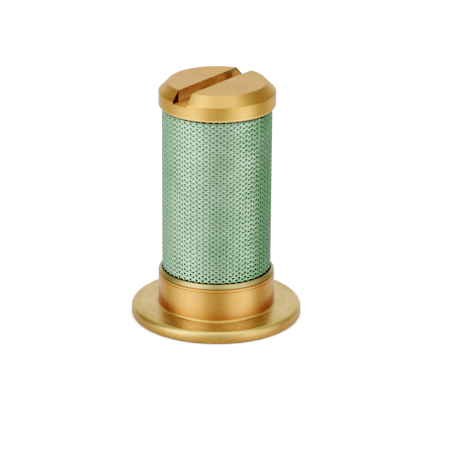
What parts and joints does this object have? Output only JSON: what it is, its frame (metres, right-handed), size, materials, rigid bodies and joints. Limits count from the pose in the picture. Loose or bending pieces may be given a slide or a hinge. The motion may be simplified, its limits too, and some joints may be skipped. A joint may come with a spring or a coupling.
{
  "type": "oil burner nozzle strainer",
  "caption": "Turned brass nozzle strainer: flanged foot, woven wire screen round a ported centre tube with a ball check valve, and a slotted screw cap.",
  "frame": {"origin": "centre of the flange's flat underside, the face that seats on the nozzle", "axes": "+Z along the strainer's axis, from the flange to the slotted cap; +X to the right in the front view, with the screen's seam at the back"},
  "size_m": [0.015, 0.015, 0.0215],
  "materials": {
    "brass_body": "turned, with fine feed marks",
    "brass_cap": "turned and milled, slightly brushed",
    "brass_inner": "as drilled and turned",
    "mesh_wire": "drawn wire with a pale green cast",
    "seam_solder": "soft-soldered lap",
    "ball_steel": "polished stainless",
    "spring_wire": "drawn spring wire",
    "seat_polymer": "machined fluoropolymer"
  },
  "bodies": {
    "body": {"flange_body": "brass_body", "centre_tube": "brass_inner", "seat_ring": "seat_polymer", "spring_retainer": "brass_inner", "ball_spring": "spring_wire"},
    "ball": {"check_ball": "ball_steel"},
    "screen": {"screen_mesh": "mesh_wire", "screen_seam": "seam_solder", "foot_ring": "brass_body", "head_ring": "brass_inner"},
    "cap": {"slotted_cap": "brass_cap"}
  },
  "joints": [
    {"name": "ball_lift", "type": "slide", "parent": "body", "child": "ball", "axis": [0, 0, -1], "range_m": [0, 0.001], "stiffness_N_per_m": 150, "springref_m": -0.002, "deforming": ["ball_spring"]},
    {"name": "cap_rise", "type": "slide", "parent": "body", "child": "screen", "axis": [0, 0, 1], "range_m": [0, 0.0038]},
    {"name": "cap_turn", "type": "hinge", "parent": "screen", "child": "cap", "pos_m": [0, 0, 0.018], "axis": [0, 0, 1], "range_deg": [0, 1710]}
  ],
  "couplings": [
    {"joint": "cap_turn", "follows": "cap_rise", "rad_per_m": 7854}
  ]
}
